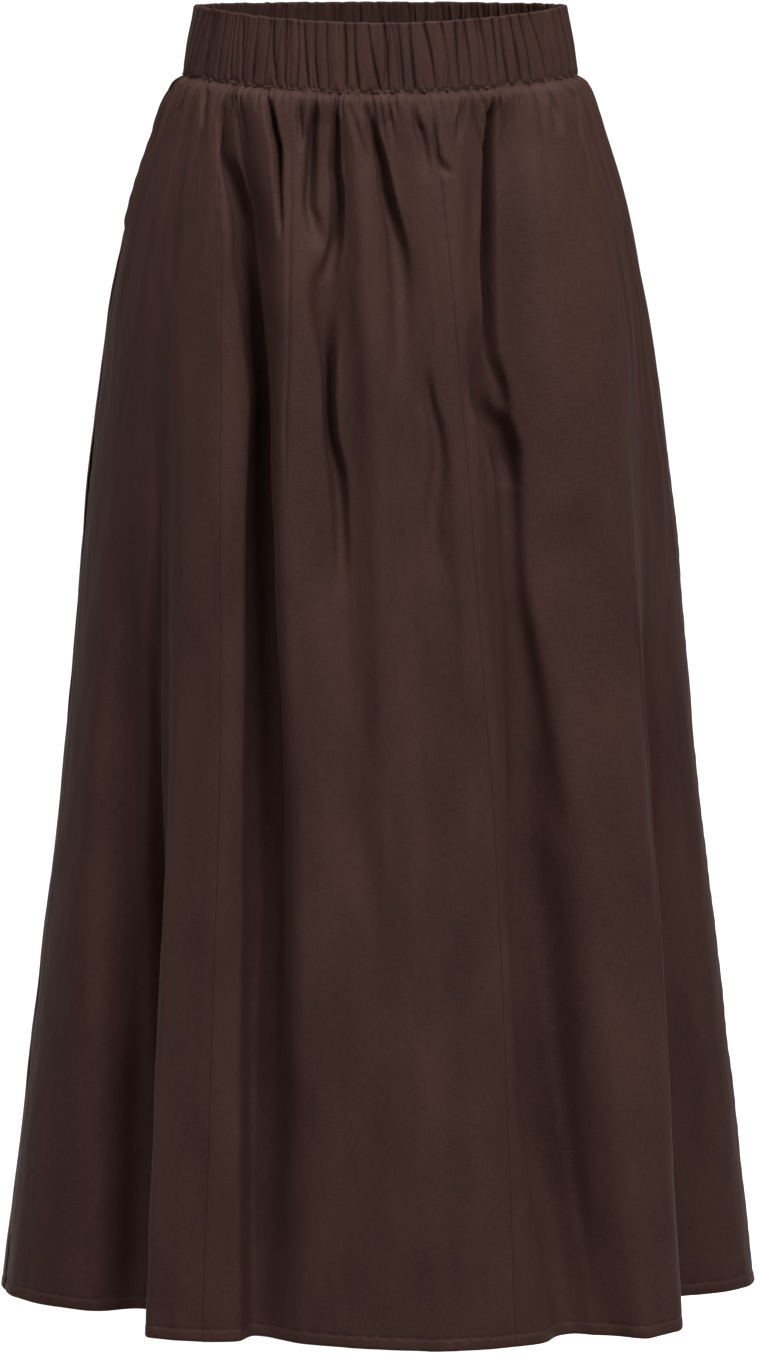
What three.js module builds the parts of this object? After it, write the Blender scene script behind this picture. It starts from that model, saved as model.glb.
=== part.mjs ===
// A maxi skirt, filled out as worn with nobody in it: a wide gathered waistband on an elastic,
// a centre front panel, two side front panels, a back panel, and two flat in-seam pocket bags.
// Millimetres, +Z up. The origin is the centre of the waist opening, where the wearer holds the
// skirt up. The front faces -Y and the wearer's left side is at +X.
//
// The body is an ellipse at each height, with folds that run down it. A fold is a line that
// turns round the body and stands in or out from the ellipse; the cloth passes smoothly through
// the lines, from each one to the next.

import * as THREE from "three";

// Driving dimensions
const DEPTH_SHARE = 0.72;
const BAND_HEIGHT = 47;
const SKIRT_LENGTH = 900;
const RIM_DIP = 9.5;
const DIP_FADE = 160;
const SEAM_GAP = 0.3;
const CLOTH_WALL = 1.5;
const BAND_WALL = 3;
const HEM_WALL = 2.6;
const HEM_TURN = 8;
const HEM_RAMP = 4;
const COLUMN_PITCH = 10;
const CLOTH_COLOUR = 0x3a2823;
const BAG_COLOUR = 0x35241f;

// Half the skirt's width, seen from the front, at each height below the rim.
const SECTIONS = [
  { height: 0, half: 128 },
  { height: -24, half: 132.5 },
  { height: -47, half: 136.5 },
  { height: -53, half: 141 },
  { height: -65, half: 147.5 },
  { height: -85, half: 155.5 },
  { height: -117, half: 166 },
  { height: -155, half: 176 },
  { height: -203, half: 186 },
  { height: -272, half: 195.5 },
  { height: -342, half: 203.5 },
  { height: -426, half: 211 },
  { height: -538, half: 222 },
  { height: -652, half: 236 },
  { height: -767, half: 250 },
  { height: -868, half: 262.5 },
  { height: -900, half: 266.5 },
];

// The heights at which each fold line is given: waist seam, hip, thigh, knee and hem.
const STATIONS = [-47, -170, -340, -600, -900];

// The fold lines in order round the body. Turn is the angle from the centre front towards +X,
// in degrees, and stand is how far the line stands out from the ellipse, in millimetres.
const LINES = [
  { line: "left side seam", turn: [-82, -85, -86, -86, -86], stand: [0, 0, 0, 0, 0] },
  { line: "left side hollow", turn: [-60, -56, -49, -46.2, -46], stand: [-1, -3, -9, -26, -50] },
  { line: "left front ridge", turn: [-55, -46, -41, -38.2, -36.8], stand: [0, 1, 2, 2, -5] },
  { line: "left front seam", turn: [-49, -36.5, -32, -29, -28], stand: [0, 2, 2, 0, -9] },
  { line: "left front valley", turn: [-45, -30, -24.5, -21.5, -18.5], stand: [-5, -16, -18, -15, -23] },
  { line: "bright ridge", turn: [-33, -20, -18, -13, -12], stand: [0, 3, 3, 0, -19] },
  { line: "left middle valley", turn: [-13, -10, -7, -4, -4], stand: [-4, -9, -7, -2, -13] },
  { line: "middle rise", turn: [-7, -3, 0, 2, 3], stand: [0, 1, 1, 0, -7] },
  { line: "right middle valley", turn: [-1, 5, 7, 9, 11], stand: [-4, -8, -3, -1, -3] },
  { line: "right front seam", turn: [14, 15, 17.5, 20.3, 20.6], stand: [0, 1, 1, 0, -6] },
  { line: "right front valley", turn: [35, 27.5, 26, 29, 35.5], stand: [-5, -15, -13, -17, -14] },
  { line: "right front fall", turn: [46, 40, 39.5, 39, 42], stand: [0, 2, 3, 6, 10] },
  { line: "right front ridge", turn: [57, 59, 53.5, 51.7, 48.1], stand: [0, 0, 2, 5, 7] },
  { line: "right side hollow", turn: [69, 69, 67, 65.5, 66], stand: [0, -1, -8, -30, -63] },
  { line: "right side seam", turn: [79, 76, 84, 90, 94], stand: [0, 0, 0, 0, 0] },
  { line: "back right hollow", turn: [100, 106, 110, 113, 115], stand: [-2, -5, -12, -26, -40] },
  { line: "back right ridge", turn: [119, 124, 127, 129, 131], stand: [0, 2, 3, 4, 4] },
  { line: "back right valley", turn: [134, 138, 141, 143, 146], stand: [-4, -9, -10, -12, -18] },
  { line: "back right rise", turn: [149, 152, 154, 157, 160], stand: [0, 2, 2, 0, -2] },
  { line: "back middle valley", turn: [163, 166, 168, 171, 174], stand: [-4, -12, -12, -10, -14] },
  { line: "back left rise", turn: [178, 180, 182, 184, 187], stand: [0, 3, 3, 1, 0] },
  { line: "back left valley", turn: [193, 196, 198, 200, 203], stand: [-4, -8, -10, -14, -24] },
  { line: "back left ridge", turn: [213, 214, 215, 217, 220], stand: [0, 2, 2, 4, 5] },
  { line: "back left hollow", turn: [236, 236, 237, 238, 240], stand: [-2, -4, -10, -24, -42] },
  { line: "back left fall", turn: [257, 256, 256, 257, 258], stand: [0, 1, 2, 2, 2] },
];

// Short creases on the big folds. Each is a soft trough from its top end to its foot, deepest a
// quarter of the way down; width is half the trough's width.
const CREASES = [
  { top: -44, foot: -150, topTurn: -33, footTurn: -22, depth: 5, width: 6 },
  { top: -44, foot: -160, topTurn: -19, footTurn: -16, depth: 5, width: 6 },
  { top: -176, foot: -262, topTurn: -16, footTurn: -8, depth: 6, width: 9 },
  { top: -250, foot: -330, topTurn: 9, footTurn: 13, depth: 5, width: 9 },
  { top: -200, foot: -330, topTurn: 22.5, footTurn: 28, depth: 6, width: 10 },
  { top: -44, foot: -130, topTurn: 65, footTurn: 60, depth: 4, width: 6 },
  { top: -44, foot: -170, topTurn: 108, footTurn: 116, depth: 5, width: 7 },
  { top: -190, foot: -300, topTurn: 132, footTurn: 136, depth: 5, width: 10 },
  { top: -44, foot: -180, topTurn: 156, footTurn: 160, depth: 5, width: 7 },
  { top: -210, foot: -320, topTurn: 176, footTurn: 172, depth: 6, width: 10 },
  { top: -44, foot: -160, topTurn: 206, footTurn: 205, depth: 5, width: 7 },
  { top: -240, foot: -350, topTurn: 222, footTurn: 228, depth: 5, width: 10 },
];

const PANELS = [
  { name: "front_side_left", from: "left side seam", to: "left front seam" },
  { name: "front_centre", from: "left front seam", to: "right front seam" },
  { name: "front_side_right", from: "right front seam", to: "right side seam" },
  { name: "back_panel", from: "right side seam", to: "left side seam" },
];

// The rows of the panels, closest where the gathers are.
const PANEL_ROWS = [
  -BAND_HEIGHT - SEAM_GAP, -52, -60, -75, -98, -130, -172, -225, -290, -370, -460, -560, -670, -785,
  -SKIRT_LENGTH + HEM_TURN + HEM_RAMP, -SKIRT_LENGTH + HEM_TURN, -SKIRT_LENGTH,
];
const BAND_ROWS = [0, -24, -BAND_HEIGHT];

const BAND = {
  gathers: 84,
  grooveShare: 0.27,
  grooveDepth: 1.5,
  unevenDepth: 0.5,
  slant: 0.9,
  unevenPlace: 0.165,
};

const GATHERS = { depthShare: 0.34, mostDepth: 1.6, shortest: 22, longest: 90 };

const POCKET_BAGS = [
  { name: "pocket_bag_left", seam: "left side seam", inward: 1 },
  { name: "pocket_bag_right", seam: "right side seam", inward: -1 },
];
// A bag's width grows from its top to its full width at the depth named, below its top, and its
// foot is rounded at the front corner. Rows are depths below the top.
const BAG = {
  top: -62,
  topWidth: 60,
  width: 112,
  fullWidthAt: 110,
  wall: 1.5,
  gap: 2.2,
  roundness: 70,
  seamDistance: 3,
  step: 1,
  columns: 11,
  rows: [0, 30, 62, 95, 130, 160, 185, 205, 220, 230],
};

// A smooth curve through values at knots that never swings past them: its slope is zero at each
// highest and lowest value, and the harmonic mean of the two sides' slopes elsewhere.
function smoothThrough(knots, values) {
  const last = knots.length - 1;
  const rise = knots.slice(1).map((knot, i) => (values[i + 1] - values[i]) / (knot - knots[i]));
  const slope = knots.map((knot, i) => {
    if (i === 0) return rise[0];
    if (i === last) return rise[last - 1];
    if (rise[i - 1] * rise[i] <= 0) return 0;
    return (2 * rise[i - 1] * rise[i]) / (rise[i - 1] + rise[i]);
  });
  return (at) => {
    let i = 0;
    while (i < last - 1 && at > knots[i + 1]) i += 1;
    const step = knots[i + 1] - knots[i];
    const s = THREE.MathUtils.clamp((at - knots[i]) / step, 0, 1);
    const fromStart = (1 + 2 * s) * (1 - s) ** 2 * values[i] + s * (1 - s) ** 2 * step * slope[i];
    const toEnd = s * s * (3 - 2 * s) * values[i + 1] + s * s * (s - 1) * step * slope[i + 1];
    return fromStart + toEnd;
  };
}

const depthBelow = (height) => -height;
const halfWidth = (() => {
  const curve = smoothThrough(
    SECTIONS.map((section) => depthBelow(section.height)),
    SECTIONS.map((section) => section.half),
  );
  return (height) => curve(depthBelow(height));
})();

const FOLDS = LINES.map(({ turn, stand }) => ({
  turn: smoothThrough(STATIONS.map(depthBelow), turn),
  stand: smoothThrough(STATIONS.map(depthBelow), stand),
}));

// The point of the ellipse at one height that is turned from the centre front, moved outwards.
function bodyPoint(height, turnDegrees, stand) {
  const turn = THREE.MathUtils.degToRad(turnDegrees);
  const half = halfWidth(height);
  const outward = new THREE.Vector2(Math.sin(turn) * DEPTH_SHARE, -Math.cos(turn)).normalize();
  const onEllipse = new THREE.Vector2(half * Math.sin(turn), -half * DEPTH_SHARE * Math.cos(turn));
  return onEllipse.addScaledVector(outward, stand);
}

// A bell, 1 in the middle and nearly 0 from 2 on.
const bell = (distance) => Math.exp(-distance * distance);

// Depth of all short creases at one place: a bell across each crease, a swell along it.
function creaseDepth(height, turnDegrees) {
  return CREASES.reduce((sum, crease) => {
    const along = (height - crease.top) / (crease.foot - crease.top);
    if (along <= 0 || along >= 1) return sum;
    const lineTurn = THREE.MathUtils.lerp(crease.topTurn, crease.footTurn, along);
    const across = THREE.MathUtils.degToRad(turnDegrees - lineTurn) * halfWidth(height);
    return sum + crease.depth * Math.sin(Math.PI * Math.sqrt(along)) * bell(across / crease.width);
  }, 0);
}

// How far the rim and the seam under it sink at the front, less and less lower down.
function dip(height, turnDegrees) {
  const facing = Math.max(0, Math.cos(THREE.MathUtils.degToRad(turnDegrees)));
  const fade = THREE.MathUtils.smoothstep(BAND_HEIGHT + DIP_FADE + height, 0, DIP_FADE);
  return RIM_DIP * facing ** 2 * fade;
}

// The lines' places along the hem, and the whole hem's length.
const HEM_PLACES = (() => {
  const corners = FOLDS.map((fold) => bodyPoint(-SKIRT_LENGTH, fold.turn(SKIRT_LENGTH), fold.stand(SKIRT_LENGTH)));
  const places = [0];
  corners.forEach((corner, i) => {
    places.push(places[i] + corner.distanceTo(corners[(i + 1) % corners.length]));
  });
  return places;
})();

// Columns of the cloth, evenly along each stretch of the hem between two lines, numbered round.
const COLUMNS = [];
const FIRST_COLUMN = {};
LINES.forEach(({ line }, i) => {
  FIRST_COLUMN[line] = COLUMNS.length;
  const stretch = HEM_PLACES[i + 1] - HEM_PLACES[i];
  const count = Math.max(3, Math.round(stretch / COLUMN_PITCH));
  for (let k = 0; k < count; k += 1) COLUMNS.push(HEM_PLACES[i] + (stretch * k) / count);
});

// Turn and stand of the cloth at any place along the hem, at one height. The lines before the
// first and after the last are repeated, so that the curve closes on itself.
function clothAt(height) {
  const turns = FOLDS.map((fold) => fold.turn(depthBelow(height)));
  const stands = FOLDS.map((fold) => fold.stand(depthBelow(height)));
  const count = LINES.length;
  const round = HEM_PLACES[count];
  const reach = 3;
  const knots = [];
  const turnValues = [];
  const standValues = [];
  for (let i = -reach; i < count + reach; i += 1) {
    const lap = Math.floor(i / count);
    const line = i - lap * count;
    knots.push(HEM_PLACES[line] + lap * round);
    turnValues.push(turns[line] + lap * 360);
    standValues.push(stands[line]);
  }
  const turnCurve = smoothThrough(knots, turnValues);
  const standCurve = smoothThrough(knots, standValues);
  return (place) => {
    const turn = turnCurve(place);
    return { turn, stand: standCurve(place) - creaseDepth(height, wrapTurn(turn)) };
  };
}

// The same turn between the left side and the back, as the creases' own turns are written.
const LAST_TURN = 262;
function wrapTurn(turnDegrees) {
  return turnDegrees > LAST_TURN ? turnDegrees - 360 : turnDegrees;
}

// One point of the cloth without gathers: place, outward direction and direction along the hem.
function clothFrame(height, cloth, place) {
  const step = 2;
  const here = cloth(place);
  const before = cloth(place - step);
  const after = cloth(place + step);
  const point = bodyPoint(height, here.turn, here.stand);
  const along = bodyPoint(height, after.turn, after.stand)
    .sub(bodyPoint(height, before.turn, before.stand))
    .normalize();
  const outward = new THREE.Vector2(along.y, -along.x);
  return { point, along, outward, turn: here.turn, height: height - dip(height, here.turn) };
}

function moved(frame, out, sideways = 0) {
  const place = frame.point.clone().addScaledVector(frame.outward, out).addScaledVector(frame.along, sideways);
  return new THREE.Vector3(place.x, place.y, frame.height);
}

// An even mix of waves, the same each time, between -1 and 1: what makes repeats uneven.
const UNEVEN_WAVES = [
  { share: 0.6, pace: 1.93, shift: 1 },
  { share: 0.4, pace: 4.71, shift: 2.3 },
];
function uneven(number, seed) {
  return UNEVEN_WAVES.reduce((sum, wave) => sum + wave.share * Math.sin(number * wave.pace + seed * wave.shift), 0);
}

// A closed wall between two grids of points, outer and inner, each given row by row from the top.
function wallGeometry(outer, inner) {
  const rows = outer.length;
  const columns = outer[0].length;
  const positions = [...outer.flat(), ...inner.flat()].flatMap((point) => point.toArray());
  const outside = (row, column) => row * columns + column;
  const inside = (row, column) => rows * columns + outside(row, column);
  const index = [];
  const quad = (a, b, c, d) => index.push(a, b, c, a, c, d);
  for (let row = 0; row < rows - 1; row += 1) {
    for (let column = 0; column < columns - 1; column += 1) {
      quad(outside(row, column), outside(row + 1, column), outside(row + 1, column + 1), outside(row, column + 1));
      quad(inside(row, column), inside(row, column + 1), inside(row + 1, column + 1), inside(row + 1, column));
    }
    quad(outside(row, 0), inside(row, 0), inside(row + 1, 0), outside(row + 1, 0));
    const end = columns - 1;
    quad(outside(row, end), outside(row + 1, end), inside(row + 1, end), inside(row, end));
  }
  const foot = rows - 1;
  for (let column = 0; column < columns - 1; column += 1) {
    quad(outside(0, column), outside(0, column + 1), inside(0, column + 1), inside(0, column));
    quad(outside(foot, column), inside(foot, column), inside(foot, column + 1), outside(foot, column + 1));
  }
  const geometry = new THREE.BufferGeometry();
  geometry.setAttribute("position", new THREE.Float32BufferAttribute(positions, 3));
  geometry.setIndex(index);
  geometry.computeVertexNormals();
  return geometry;
}

function clothMesh(name, geometry, color) {
  const material = new THREE.MeshStandardMaterial({ color, roughness: 0.82, metalness: 0 });
  const mesh = new THREE.Mesh(geometry, material);
  mesh.name = name;
  return mesh;
}

// Panels: every second column is a gather's groove under the waist seam, as deep as the columns
// are apart there, and each fades out at its own depth.
const waistCloth = clothAt(-BAND_HEIGHT);
function gatherDepth(column, height) {
  const number = column % COLUMNS.length;
  if (number % 2 === 0) return 0;
  const before = COLUMNS[number - 1];
  const after = COLUMNS[(number + 1) % COLUMNS.length] || HEM_PLACES[LINES.length];
  const span = THREE.MathUtils.degToRad(waistCloth(after).turn - waistCloth(before).turn);
  const pitch = (span * halfWidth(-BAND_HEIGHT) * (1 + DEPTH_SHARE)) / 2;
  const depth = Math.min(GATHERS.mostDepth, GATHERS.depthShare * pitch);
  const reach = THREE.MathUtils.mapLinear(uneven(number, 1), -1, 1, GATHERS.shortest, GATHERS.longest);
  return depth * bell((height + BAND_HEIGHT) / reach);
}

function wallThickness(height) {
  return height <= -SKIRT_LENGTH + HEM_TURN ? HEM_WALL : CLOTH_WALL;
}

function panelGeometry({ from, to }) {
  const first = FIRST_COLUMN[from];
  const last = FIRST_COLUMN[to] > first ? FIRST_COLUMN[to] : FIRST_COLUMN[to] + COLUMNS.length;
  const outer = [];
  const inner = [];
  PANEL_ROWS.forEach((height) => {
    const cloth = clothAt(height);
    const outerRow = [];
    const innerRow = [];
    for (let column = first; column <= last; column += 1) {
      const lap = Math.floor(column / COLUMNS.length);
      const place = COLUMNS[column - lap * COLUMNS.length] + lap * HEM_PLACES[LINES.length];
      const frame = clothFrame(height, cloth, place);
      let sideways = 0;
      if (column === first) sideways = SEAM_GAP / 2;
      if (column === last) sideways = -SEAM_GAP / 2;
      const groove = gatherDepth(column, height);
      outerRow.push(moved(frame, -groove, sideways));
      innerRow.push(moved(frame, -groove - wallThickness(height), sideways));
    }
    outer.push(outerRow);
    inner.push(innerRow);
  });
  return wallGeometry(outer, inner);
}

// Waistband halves: each gather is a flat top between two narrow grooves, leaning a little.
function bandGeometry(startTurn) {
  const pitch = 360 / BAND.gathers;
  const count = BAND.gathers / 2;
  const outer = [];
  const inner = [];
  BAND_ROWS.forEach((height) => {
    const below = depthBelow(height) / BAND_HEIGHT;
    const outerRow = [];
    const innerRow = [];
    const add = (turn, groove, sideways) => {
      const lifted = height - dip(height, turn);
      const place = (out) => {
        const flat = bodyPoint(height, turn, out);
        const side = THREE.MathUtils.degToRad(turn);
        const along = new THREE.Vector2(Math.cos(side), DEPTH_SHARE * Math.sin(side)).normalize();
        flat.addScaledVector(along, sideways);
        return new THREE.Vector3(flat.x, flat.y, lifted);
      };
      outerRow.push(place(-groove));
      innerRow.push(place(-BAND_WALL - groove));
    };
    add(startTurn, 0, SEAM_GAP / 2);
    for (let i = 0; i < count; i += 1) {
      const number = i + Math.round(startTurn);
      const lean = BAND.slant * uneven(number, 5) * (below - 0.5);
      const middle = startTurn + (i + 0.5 + BAND.unevenPlace * uneven(number, 9)) * pitch + lean;
      const depth = BAND.grooveDepth + BAND.unevenDepth * uneven(number, 13);
      add(middle - BAND.grooveShare * pitch, 0, 0);
      add(middle, depth, 0);
      add(middle + BAND.grooveShare * pitch, 0, 0);
    }
    add(startTurn + 180, 0, -SEAM_GAP / 2);
    outer.push(outerRow);
    inner.push(innerRow);
  });
  return wallGeometry(outer, inner);
}

// A pocket bag: the two layers lie flat on each other against the inside of a side front panel,
// held along the side seam and rounded at the lower corner that points to the front. Each row
// runs its own width along the cloth, counted in small steps from the seam.
function bagRow(height, below, seamPlace, inward) {
  const foot = BAG.rows[BAG.rows.length - 1];
  const rounding = Math.max(0, below - foot + BAG.roundness);
  const cut = BAG.roundness - Math.sqrt(Math.max(0, BAG.roundness ** 2 - rounding ** 2));
  const widening = THREE.MathUtils.smoothstep(below, 0, BAG.fullWidthAt);
  const width = THREE.MathUtils.lerp(BAG.topWidth, BAG.width, widening) - cut;
  const cloth = clothAt(height);
  const frames = [];
  let place = seamPlace + inward * BAG.seamDistance;
  let frame = clothFrame(height, cloth, wrapPlace(place));
  let run = 0;
  for (let k = 0; k < BAG.columns; k += 1) {
    const target = (width * k) / (BAG.columns - 1);
    while (run < target) {
      place += inward * BAG.step;
      const next = clothFrame(height, cloth, wrapPlace(place));
      run += next.point.distanceTo(frame.point);
      frame = next;
    }
    frames.push(frame);
  }
  return inward > 0 ? frames : frames.reverse();
}

function bagGeometry({ seam, inward }) {
  const seamPlace = HEM_PLACES[LINES.findIndex(({ line }) => line === seam)];
  const outer = [];
  const inner = [];
  BAG.rows.forEach((below) => {
    const height = BAG.top - below;
    const gathers = GATHERS.mostDepth * bell((height + BAND_HEIGHT) / GATHERS.longest);
    const clear = CLOTH_WALL + BAG.gap + gathers;
    const frames = bagRow(height, below, seamPlace, inward);
    outer.push(frames.map((frame) => moved(frame, -clear)));
    inner.push(frames.map((frame) => moved(frame, -clear - BAG.wall)));
  });
  return wallGeometry(outer, inner);
}

function wrapPlace(place) {
  const round = HEM_PLACES[LINES.length];
  return ((place % round) + round) % round;
}

const skirt = new THREE.Group();
skirt.name = "maxi_skirt";
skirt.add(clothMesh("waistband_front", bandGeometry(-90), CLOTH_COLOUR));
skirt.add(clothMesh("waistband_back", bandGeometry(90), CLOTH_COLOUR));
PANELS.forEach((panel) => skirt.add(clothMesh(panel.name, panelGeometry(panel), CLOTH_COLOUR)));
POCKET_BAGS.forEach((bag) => skirt.add(clothMesh(bag.name, bagGeometry(bag), BAG_COLOUR)));

export default skirt;
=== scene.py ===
# A maxi skirt in crisp dark brown cotton poplin, filled out as worn, hanging from its waistband.
# It is put together in the order of its making: panels, waistband, pocket bags, sewing thread.
import bpy
import numpy as np
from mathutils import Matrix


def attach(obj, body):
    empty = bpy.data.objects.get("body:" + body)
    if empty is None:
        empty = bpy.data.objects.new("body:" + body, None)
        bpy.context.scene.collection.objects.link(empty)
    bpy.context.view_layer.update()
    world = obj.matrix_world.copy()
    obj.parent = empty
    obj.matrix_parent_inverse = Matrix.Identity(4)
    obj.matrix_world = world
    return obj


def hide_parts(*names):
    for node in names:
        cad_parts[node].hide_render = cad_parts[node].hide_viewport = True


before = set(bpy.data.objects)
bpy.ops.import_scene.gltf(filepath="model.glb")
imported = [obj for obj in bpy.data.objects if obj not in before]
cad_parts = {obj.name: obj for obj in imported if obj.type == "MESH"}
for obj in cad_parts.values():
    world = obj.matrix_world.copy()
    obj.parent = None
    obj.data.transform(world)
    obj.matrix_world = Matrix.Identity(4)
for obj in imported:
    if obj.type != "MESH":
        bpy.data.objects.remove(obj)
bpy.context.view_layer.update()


# Panels of crisp dark brown cotton poplin: a centre front, two side fronts and the back, sewn
# together along four long seams, gathered into the waist seam and turned up at the hem.
# Each is a closed shell of cloth. Sizes are in millimetres and degrees.
# At each depth below the rim the body is an ellipse, and fold lines run down it, each turned
# round the body and standing in or out from the ellipse; the cloth passes smoothly through them.
MM = 0.001
DEPTH_SHARE = 0.72
BAND_HEIGHT = 47.0
SKIRT_LENGTH = 900.0
RIM_DIP = 9.5
DIP_FADE = 160.0

SECTIONS = [
    {"depth": 0, "half": 128.0},
    {"depth": 24, "half": 132.5},
    {"depth": 47, "half": 136.5},
    {"depth": 53, "half": 141.0},
    {"depth": 65, "half": 147.5},
    {"depth": 85, "half": 155.5},
    {"depth": 117, "half": 166.0},
    {"depth": 155, "half": 176.0},
    {"depth": 203, "half": 186.0},
    {"depth": 272, "half": 195.5},
    {"depth": 342, "half": 203.5},
    {"depth": 426, "half": 211.0},
    {"depth": 538, "half": 222.0},
    {"depth": 652, "half": 236.0},
    {"depth": 767, "half": 250.0},
    {"depth": 868, "half": 262.5},
    {"depth": 900, "half": 266.5},
]

# Each line's turn and stand at the waist seam, hip, thigh, knee and hem.
STATIONS = [47, 170, 340, 600, 900]
LINES = [
    {"line": "left side seam", "turn": [-82, -85, -86, -86, -86], "stand": [0, 0, 0, 0, 0]},
    {"line": "left side hollow", "turn": [-60, -56, -49, -46.2, -46], "stand": [-1, -3, -9, -26, -50]},
    {"line": "left front ridge", "turn": [-55, -46, -41, -38.2, -36.8], "stand": [0, 1, 2, 2, -5]},
    {"line": "left front seam", "turn": [-49, -36.5, -32, -29, -28], "stand": [0, 2, 2, 0, -9]},
    {"line": "left front valley", "turn": [-45, -30, -24.5, -21.5, -18.5], "stand": [-5, -16, -18, -15, -23]},
    {"line": "bright ridge", "turn": [-33, -20, -18, -13, -12], "stand": [0, 3, 3, 0, -19]},
    {"line": "left middle valley", "turn": [-13, -10, -7, -4, -4], "stand": [-4, -9, -7, -2, -13]},
    {"line": "middle rise", "turn": [-7, -3, 0, 2, 3], "stand": [0, 1, 1, 0, -7]},
    {"line": "right middle valley", "turn": [-1, 5, 7, 9, 11], "stand": [-4, -8, -3, -1, -3]},
    {"line": "right front seam", "turn": [14, 15, 17.5, 20.3, 20.6], "stand": [0, 1, 1, 0, -6]},
    {"line": "right front valley", "turn": [35, 27.5, 26, 29, 35.5], "stand": [-5, -15, -13, -17, -14]},
    {"line": "right front fall", "turn": [46, 40, 39.5, 39, 42], "stand": [0, 2, 3, 6, 10]},
    {"line": "right front ridge", "turn": [57, 59, 53.5, 51.7, 48.1], "stand": [0, 0, 2, 5, 7]},
    {"line": "right side hollow", "turn": [69, 69, 67, 65.5, 66], "stand": [0, -1, -8, -30, -63]},
    {"line": "right side seam", "turn": [79, 76, 84, 90, 94], "stand": [0, 0, 0, 0, 0]},
    {"line": "back right hollow", "turn": [100, 106, 110, 113, 115], "stand": [-2, -5, -12, -26, -40]},
    {"line": "back right ridge", "turn": [119, 124, 127, 129, 131], "stand": [0, 2, 3, 4, 4]},
    {"line": "back right valley", "turn": [134, 138, 141, 143, 146], "stand": [-4, -9, -10, -12, -18]},
    {"line": "back right rise", "turn": [149, 152, 154, 157, 160], "stand": [0, 2, 2, 0, -2]},
    {"line": "back middle valley", "turn": [163, 166, 168, 171, 174], "stand": [-4, -12, -12, -10, -14]},
    {"line": "back left rise", "turn": [178, 180, 182, 184, 187], "stand": [0, 3, 3, 1, 0]},
    {"line": "back left valley", "turn": [193, 196, 198, 200, 203], "stand": [-4, -8, -10, -14, -24]},
    {"line": "back left ridge", "turn": [213, 214, 215, 217, 220], "stand": [0, 2, 2, 4, 5]},
    {"line": "back left hollow", "turn": [236, 236, 237, 238, 240], "stand": [-2, -4, -10, -24, -42]},
    {"line": "back left fall", "turn": [257, 256, 256, 257, 258], "stand": [0, 1, 2, 2, 2]},
]
LINE_TURNS = np.array([row["turn"] for row in LINES], float)
LINE_STANDS = np.array([row["stand"] for row in LINES], float)


def smooth_through(knots, values, at):
    """A curve through the values at the knots: in each span a cubic whose end slopes are the
    harmonic mean of the rises on both sides, or zero at a highest or lowest value."""
    knots = np.asarray(knots, float)
    values = np.asarray(values, float)
    tail = (1,) * (values.ndim - 1)
    rise = np.diff(values, axis=0) / np.diff(knots).reshape((-1,) + tail)
    same = rise[:-1] * rise[1:] > 0
    total = np.where(same, rise[:-1] + rise[1:], 1.0)
    middle = np.where(same, 2 * rise[:-1] * rise[1:] / total, 0.0)
    slope = np.concatenate([rise[:1], middle, rise[-1:]])
    span = np.clip(np.searchsorted(knots, at, side="right") - 1, 0, len(knots) - 2)
    width = knots[span + 1] - knots[span]
    share = np.clip((at - knots[span]) / width, 0, 1).reshape(np.shape(at) + tail)
    width = width.reshape(np.shape(at) + tail)
    rest = 1 - share
    start = (1 + 2 * share) * rest**2 * values[span] + share * rest**2 * width * slope[span]
    end = share**2 * (3 - 2 * share) * values[span + 1] - share**2 * rest * width * slope[span + 1]
    return start + end


def ease(low, high, at):
    """0 below low, 1 above high, and a smooth cubic step between them."""
    share = np.clip((at - low) / (high - low), 0, 1)
    return share * share * (3 - 2 * share)


def bell(distance):
    """1 in the middle and nearly 0 from 2 on: e to the minus square of the distance."""
    return np.exp(-distance * distance)


def tuck(distance, power):
    """Like the bell, steeper at its sides where the power is high: e to the minus distance to
    that power."""
    return np.exp(-np.abs(distance) ** power)


def half_width(depth):
    """Half the body's width at a depth, through the sections."""
    knots = [row["depth"] for row in SECTIONS]
    return smooth_through(knots, [row["half"] for row in SECTIONS], np.asarray(depth, float))


def rim_dip(turn, depth):
    """How far the cloth sinks at the front: the dip times the squared cosine of the turn, fading
    out below the waist seam."""
    facing = np.maximum(0, np.cos(np.radians(turn)))
    return RIM_DIP * facing**2 * (1 - ease(BAND_HEIGHT, BAND_HEIGHT + DIP_FADE, depth))


def body_point(depth, turn, stand):
    """The ellipse's point at a turn, moved out along the ellipse's normal by the stand."""
    angle = np.radians(turn)
    half = half_width(depth)
    out_x = np.sin(angle) * DEPTH_SHARE
    out_y = -np.cos(angle)
    length = np.hypot(out_x, out_y)
    x = half * np.sin(angle) + stand * out_x / length
    y = -half * DEPTH_SHARE * np.cos(angle) + stand * out_y / length
    return x, y


def hem_places():
    """Where the fold lines stand along the hem: straight distances from line to line, added up."""
    x, y = body_point(SKIRT_LENGTH, LINE_TURNS[:, -1], LINE_STANDS[:, -1])
    steps = np.hypot(np.roll(x, -1) - x, np.roll(y, -1) - y)
    return np.concatenate([[0], np.cumsum(steps)])


HEM_PLACES = hem_places()
HEM_ROUND = HEM_PLACES[-1]
PLACE_OF = {row["line"]: HEM_PLACES[number] for number, row in enumerate(LINES)}


def cloth_turn_stand(places, depths):
    """Turn and stand on a grid of depths by places along the hem: smooth through the stations
    down each line, then smooth through the lines round the body, which repeat every lap."""
    turns = smooth_through(STATIONS, LINE_TURNS.T, depths)
    stands = smooth_through(STATIONS, LINE_STANDS.T, depths)
    laps = [-1, 0, 1]
    knots = np.concatenate([HEM_PLACES[:-1] + lap * HEM_ROUND for lap in laps])
    turns = np.concatenate([turns + 360.0 * lap for lap in laps], axis=1)
    stands = np.concatenate([stands for lap in laps], axis=1)
    return smooth_through(knots, turns.T, places).T, smooth_through(knots, stands.T, places).T


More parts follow.
